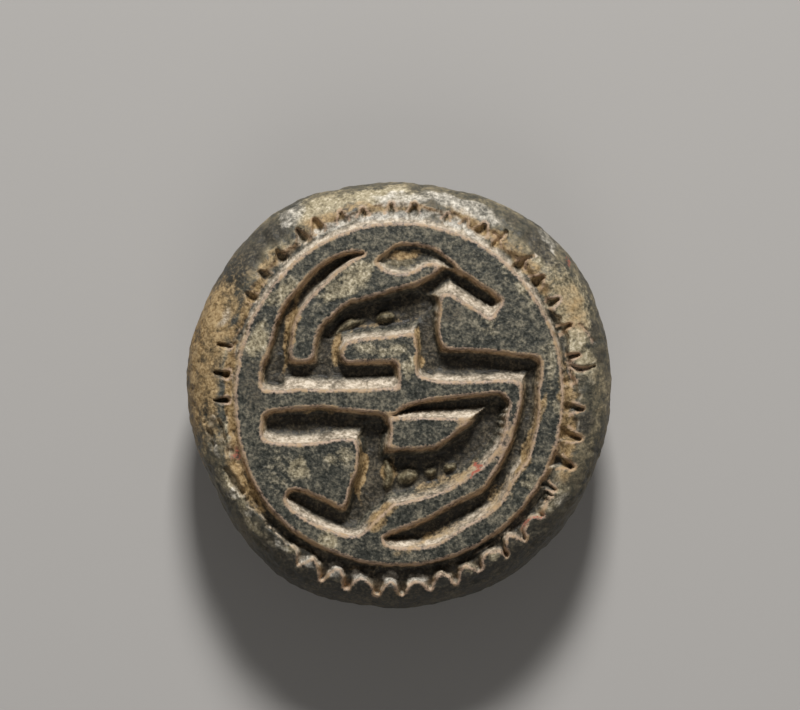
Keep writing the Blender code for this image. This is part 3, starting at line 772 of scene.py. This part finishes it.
def hole_cutter():
    """Two cones along X that meet at the waist, as a drill from each side leaves them."""
    mesh = bpy.data.meshes.new("hole_cutter")
    drill = bmesh.new()
    reach = BODY_RADIUS + HOLE_OVERRUN
    mouth = HOLE_WAIST_RADIUS + (HOLE_MOUTH_RADIUS - HOLE_WAIST_RADIUS) * reach / BODY_RADIUS
    rings = []
    for along, radius in ((-reach, mouth), (0, HOLE_WAIST_RADIUS), (reach, mouth)):
        ring = []
        for i in range(HOLE_SIDES):
            turn = 2 * math.pi * i / HOLE_SIDES
            ring.append(drill.verts.new((
                along * MM, radius * math.cos(turn) * MM, (HOLE_HEIGHT + radius * math.sin(turn)) * MM,
            )))
        rings.append(ring)
    for left, right in zip(rings, rings[1:]):
        for i in range(HOLE_SIDES):
            j = (i + 1) % HOLE_SIDES
            drill.faces.new((left[i], left[j], right[j], right[i]))
    drill.faces.new(rings[0][::-1])
    drill.faces.new(rings[-1])
    bmesh.ops.recalc_face_normals(drill, faces=drill.faces)
    drill.to_mesh(mesh)
    drill.free()
    cutter = bpy.data.objects.new("hole_cutter", mesh)
    bpy.context.scene.collection.objects.link(cutter)
    return cutter


def drill_hole(seal):
    """Cuts the string hole and applies the cut."""
    cutter = hole_cutter()
    cut = seal.modifiers.new("string_hole", "BOOLEAN")
    cut.operation = "DIFFERENCE"
    cut.solver = "EXACT"
    cut.object = cutter
    drilled = bpy.data.meshes.new_from_object(seal.evaluated_get(bpy.context.evaluated_depsgraph_get()))
    seal.modifiers.remove(cut)
    seal.data = drilled
    drilled.name = "seal_stone_drilled"
    bpy.data.objects.remove(cutter)


def patches(place, rows):
    """Strength of the soft-edged patches at each place."""
    x = place[:, 0] + layered(place, PATCH_WANDER_ACROSS)
    y = place[:, 1] + layered(place, PATCH_WANDER_UP)
    whole, end = PATCH_EDGE
    strength = np.zeros(len(place))
    for across, up, long, wide, degrees, amount in rows:
        turn = math.radians(degrees)
        a = ((x - across) * math.cos(turn) + (y - up) * math.sin(turn)) / long
        b = ((y - up) * math.cos(turn) - (x - across) * math.sin(turn)) / wide
        strength = np.maximum(strength, amount * smoothstep(end, whole, np.hypot(a, b)))
    return strength


def around(bearing, middle, spread):
    """1 near a middle bearing, falling to 0 at spread degrees from it."""
    return smoothstep(spread, 0.35 * spread, np.abs(turned(bearing, middle)))


def paint(mesh):
    """Stores on the mesh where each colour of the stone and its crust lies, and where light and shade are
    painted.
    """
    count = len(mesh.vertices)
    flat = np.empty(count * 3)
    mesh.vertices.foreach_get("co", flat)
    place = flat.reshape(-1, 3) / MM
    ways = np.empty(count * 3)
    mesh.vertex_normals.foreach_get("vector", ways)
    ways = ways.reshape(-1, 3)
    level = place.copy()
    level[:, 2] = THICKNESS  # so that the depth of a cut doesn't change the noise at its edge
    cuts = carving(level)
    share = cuts.depth / cuts.full

    away = np.hypot(place[:, 0], place[:, 1])
    bearing = np.degrees(np.arctan2(place[:, 1], place[:, 0])) % 360
    sine, cosine = np.sin(np.radians(bearing)), np.cos(np.radians(bearing))
    on_top = smoothstep(*TOP_SPAN, place[:, 2])
    outside = smoothstep(*OUTSIDE_SPAN, away)
    # Outside the ring, walls at the two sides and arrises at the left are dull, and floors in
    # the upper half, which faces the lamp, have less painted shade
    dull_wall = WALL_DULLING * outside * smoothstep(*SIDES_SPAN, np.abs(sine))
    lifted_floor_shade = FLOOR_SHADE_LIFT * outside * smoothstep(*UPPER_HALF_SPAN, sine)
    dull_arris = ARRIS_DULLING * outside * smoothstep(*LEFT_SIDE_SPAN, cosine)
    # The bodies' and the leg's walls are pale near the arris only, the others almost to their foot
    broad_cut = cuts.full == BODY_DEPTH
    wall_foot = np.where(broad_cut, smoothstep(*BROAD_WALL_FOOT, share), smoothstep(*WALL_FOOT, share))
    # Painted shade: the deepest part of each cut is darkened, most where the cut is deep
    floor_shade = smoothstep(*FLOOR_SHADE_SHARE_SPAN, share) * smoothstep(*FLOOR_SHADE_DEPTH_SPAN, cuts.depth)
    line_middle, line_half = ARRIS_LINE
    masks = {
        "arris": on_top * (1 - dull_arris) * np.exp(-((cuts.edge + line_middle) / line_half) ** 2),
        "wall": on_top * (1 - dull_wall) * smoothstep(*WALL_HEAD, share) * wall_foot,
        # Which way each surface faces the lamp: shaded is 1 where it faces away, sideways where it faces
        # across. The wall and arris colours chosen by these are painted light and shade
        "shaded": smoothstep(*SHADED_SPAN, ways[:, 1]),
        "sideways": smoothstep(*SIDEWAYS_SPAN, np.abs(ways[:, 1])) * smoothstep(*SLOPING_SPAN, ways[:, 2]),
        "floor": on_top * (1 - lifted_floor_shade) * floor_shade,
        "left": on_top * smoothstep(*LEFT_SPAN, cuts.left),
        "rim": smoothstep(*RIM_SPAN, away),
    }
    for name, rows in PATCHES.items():
        masks[name] = on_top * patches(place, rows)
    # The rim is dark round its foot and ochre at its left
    dark_foot = masks["rim"] * around(bearing, *DARK_FOOT)
    ochre_left = OCHRE_LEFT_STRENGTH * on_top * masks["rim"] * around(bearing, *OCHRE_LEFT)
    masks["dark"] = np.maximum(masks["dark"], dark_foot)
    masks["ochre"] = np.maximum(masks["ochre"], ochre_left)
    for name, values in masks.items():
        layer = mesh.attributes.new(name, "FLOAT", "POINT")
        layer.data.foreach_set("value", values.astype(np.float32))


class Look:
    """A Principled material built up from a few kinds of node."""

    def __init__(self, name):
        self.material = bpy.data.materials.new(name)
        self.material.use_nodes = True
        self.nodes = self.material.node_tree.nodes
        self.link = self.material.node_tree.links.new
        self.shader = self.nodes["Principled BSDF"]
        place = self.nodes.new("ShaderNodeTexCoord")
        scale = self.nodes.new("ShaderNodeVectorMath")
        scale.operation = "SCALE"
        scale.inputs["Scale"].default_value = 1 / MM
        self.link(place.outputs["Object"], scale.inputs[0])
        self.place = scale.outputs[0]  # the place on the object in millimetres

    def put(self, value, socket):
        """Links another node's output to a socket, or sets the socket to a number or colour."""
        if isinstance(value, bpy.types.NodeSocket):
            self.link(value, socket)
        else:
            socket.default_value = value

    def attribute(self, name):
        """A mask that paint() stored on the mesh."""
        node = self.nodes.new("ShaderNodeAttribute")
        node.attribute_name = name
        return node.outputs["Fac"]

    def noise(self, size, detail, roughness):
        """Noise from 0 to 1 with features about size millimetres across."""
        node = self.nodes.new("ShaderNodeTexNoise")
        self.link(self.place, node.inputs["Vector"])
        node.inputs["Scale"].default_value = 1 / size
        node.inputs["Detail"].default_value = detail
        node.inputs["Roughness"].default_value = roughness
        return node.outputs["Fac"]

    def math(self, operation, a, b):
        """One operation on two values."""
        node = self.nodes.new("ShaderNodeMath")
        node.operation = operation
        self.put(a, node.inputs[0])
        self.put(b, node.inputs[1])
        return node.outputs[0]

    def span(self, value, low, high, to_low=0.0, to_high=1.0):
        """value, stretched so that low and high become to_low and to_high, and held there."""
        node = self.nodes.new("ShaderNodeMapRange")
        for name, number in (
            ("Value", value), ("From Min", low), ("From Max", high), ("To Min", to_low), ("To Max", to_high)
        ):
            self.put(number, node.inputs[name])
        return node.outputs[0]

    def blend(self, *parts):
        """The sum of values, each times its weight."""
        total = None
        for value, weight in parts:
            part = self.math("MULTIPLY", value, weight)
            total = part if total is None else self.math("ADD", total, part)
        return total

    def ramp(self, value, stops):
        """The colour for a value, from rows of a position and its colour."""
        node = self.nodes.new("ShaderNodeValToRGB")
        points = node.color_ramp.elements
        while len(points) < len(stops):
            points.new(0.5)
        for point, (position, colour) in zip(points, stops):
            point.position = position
            point.color = (*colour, 1)
        self.put(value, node.inputs["Fac"])
        return node.outputs["Color"]

    def mix(self, amount, first, second):
        """The first colour where the amount is 0, and the second where it is 1."""
        node = self.nodes.new("ShaderNodeMix")
        node.data_type = "RGBA"
        self.put(amount, node.inputs["Factor"])
        colours = [socket for socket in node.inputs if socket.type == "RGBA"]
        for socket, value in zip(colours, (first, second)):
            self.put((*value, 1) if isinstance(value, tuple) else value, socket)
        return [socket for socket in node.outputs if socket.type == "RGBA"][0]

    def broken(self, name, grain):
        """A stored mask, broken up by the grain of the stone, and none where the mask is none."""
        mask = self.attribute(name)
        pushed = self.math("ADD", mask, self.math("SUBTRACT", grain, 0.5))
        torn = self.span(pushed, 0.5 - SOFTNESS[name], 0.5 + SOFTNESS[name])
        return self.math("MULTIPLY", torn, self.span(mask, *WEAK_MASK_SPAN))


def stone_look():
    """The seal's material: mottled stone, then the crusts, walls, floors and arrises over it, with painted
    light and shade on the walls, floors and arrises.
    """
    look = Look("seal_stone")
    grains = [look.noise(*grain) for grain in GRAINS]
    mixed = {
        name: look.span(look.blend(*zip(grains, weights)), *span)
        for name, (weights, span) in MIXTURES.items()
    }
    speck, cloud = mixed["speck"], mixed["cloud"]
    other_grains = {"rim": mixed["rim"], "lit_wall": look.span(speck, *LIT_WALL_SPAN)}
    tones = {name: look.ramp(other_grains.get(name, speck), stops) for name, stops in TONES.items()}

    colour = look.mix(look.span(cloud, *WARM_SPAN), tones["field"], tones["warm"])
    rim = look.math("MULTIPLY", look.attribute("rim"), RIM_STRENGTH)
    colour = look.mix(rim, colour, tones["rim"])
    # Dark stone, then cream crust with some painted highlights on teeth heads
    for name in ("dark", "cream_and_highlight"):
        colour = look.mix(look.broken(name, cloud), colour, tones[name])
    # Painted light and shade: the crust in three copies by which way a wall faces the lamp, pale towards
    # it, brown away from it and ochre across its way
    wall = look.mix(look.attribute("shaded"), tones["lit_wall"], tones["shaded_wall"])
    sideways = look.math("MULTIPLY", look.attribute("sideways"), SIDEWAYS_STRENGTH)
    wall = look.mix(sideways, wall, tones["ochre"])
    wall_strength = look.span(cloud, *WALL_STRENGTH_SPAN)
    colour = look.mix(look.math("MULTIPLY", look.attribute("wall"), wall_strength), colour, wall)
    # Painted shade darkens the deepest part of the cuts
    colour = look.mix(look.attribute("floor"), colour, tones["floor"])
    # Ochre crust, then pale mottling with painted highlights and sheen
    for name in ("ochre", "white_and_highlight"):
        colour = look.mix(look.broken(name, cloud), colour, tones[name])
    colour = look.mix(look.attribute("left"), colour, tones["left"])
    line = look.math("MULTIPLY", look.broken("arris", speck), ARRIS_STRENGTH)
    # Painted light: the arris line is paler where the surface faces away from the lamp
    line_colour = look.mix(look.attribute("shaded"), LIT_ARRIS, SHADED_ARRIS)
    line_colour = look.mix(look.span(cloud, *GOLDEN_SPAN), line_colour, GOLDEN_ARRIS)
    colour = look.mix(line, colour, line_colour)
    colour = look.mix(look.broken("red", speck), colour, RED)
    look.put(colour, look.shader.inputs["Base Color"])

    look.put(look.span(speck, 0.0, 1.0, *STONE_ROUGHNESS), look.shader.inputs["Roughness"])
    look.shader.inputs["Specular IOR Level"].default_value = STONE_SPECULAR
    bump = look.nodes.new("ShaderNodeBump")
    bump.inputs["Distance"].default_value = GRAIN_HEIGHT * MM
    bump.inputs["Strength"].default_value = GRAIN_STRENGTH
    look.put(speck, bump.inputs["Height"])
    look.put(bump.outputs["Normal"], look.shader.inputs["Normal"])
    return look.material


def plain_material(name, colour, roughness):
    """A material of one colour and one roughness."""
    material = bpy.data.materials.new(name)
    material.use_nodes = True
    shader = material.node_tree.nodes["Principled BSDF"]
    shader.inputs["Base Color"].default_value = (*colour, 1)
    shader.inputs["Roughness"].default_value = roughness
    return material


def add_lamp(name, place, size, power, colour):
    """A square area light aimed at the seal's face."""
    light = bpy.data.lights.new(name, "AREA")
    light.size = size
    light.energy = power
    light.color = colour
    lamp = bpy.data.objects.new(name, light)
    lamp.location = place
    aim = Vector((0, 0, THICKNESS * MM)) - lamp.location
    lamp.rotation_euler = aim.to_track_quat("-Z", "Y").to_euler()
    bpy.context.scene.collection.objects.link(lamp)


# The seal
seal = bpy.data.objects.new("seal_stone", stone_mesh())
bpy.context.scene.collection.objects.link(seal)
drill_hole(seal)
seal.data.shade_smooth()
paint(seal.data)
seal.data.materials.clear()
seal.data.materials.append(stone_look())
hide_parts("seal_amulet")
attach(seal, "root")

# Floor
bpy.ops.mesh.primitive_plane_add(size=FLOOR_SIZE, location=(0, 0, 0))
floor = bpy.context.object
floor.name = "floor"
floor.data.materials.append(plain_material("floor", FLOOR_COLOUR, FLOOR_ROUGHNESS))

# Light: a lamp beyond the top of the carving, a weak one opposite it, and a dim room
for name, settings in LAMPS.items():
    add_lamp(name, *settings)
world = bpy.data.worlds.new("studio")
world.use_nodes = True
world.node_tree.nodes["Background"].inputs["Color"].default_value = (1, 1, 1, 1)
world.node_tree.nodes["Background"].inputs["Strength"].default_value = STUDIO_STRENGTH
bpy.context.scene.world = world

# Camera, straight above the seal with the top of the carving up
camera_data = bpy.data.cameras.new("camera")
camera_data.lens = LENS
camera_data.sensor_width = SENSOR_WIDTH
camera_data.clip_start = 0.01  # metres
camera = bpy.data.objects.new("camera", camera_data)
distance = FRAME_WIDTH * LENS / SENSOR_WIDTH
camera.matrix_world = Matrix.Translation(Vector((*LOOK_AT, RING_LEVEL + distance)) * MM)
bpy.context.scene.collection.objects.link(camera)
bpy.context.scene.camera = camera
bpy.context.scene.view_settings.view_transform = "Standard"
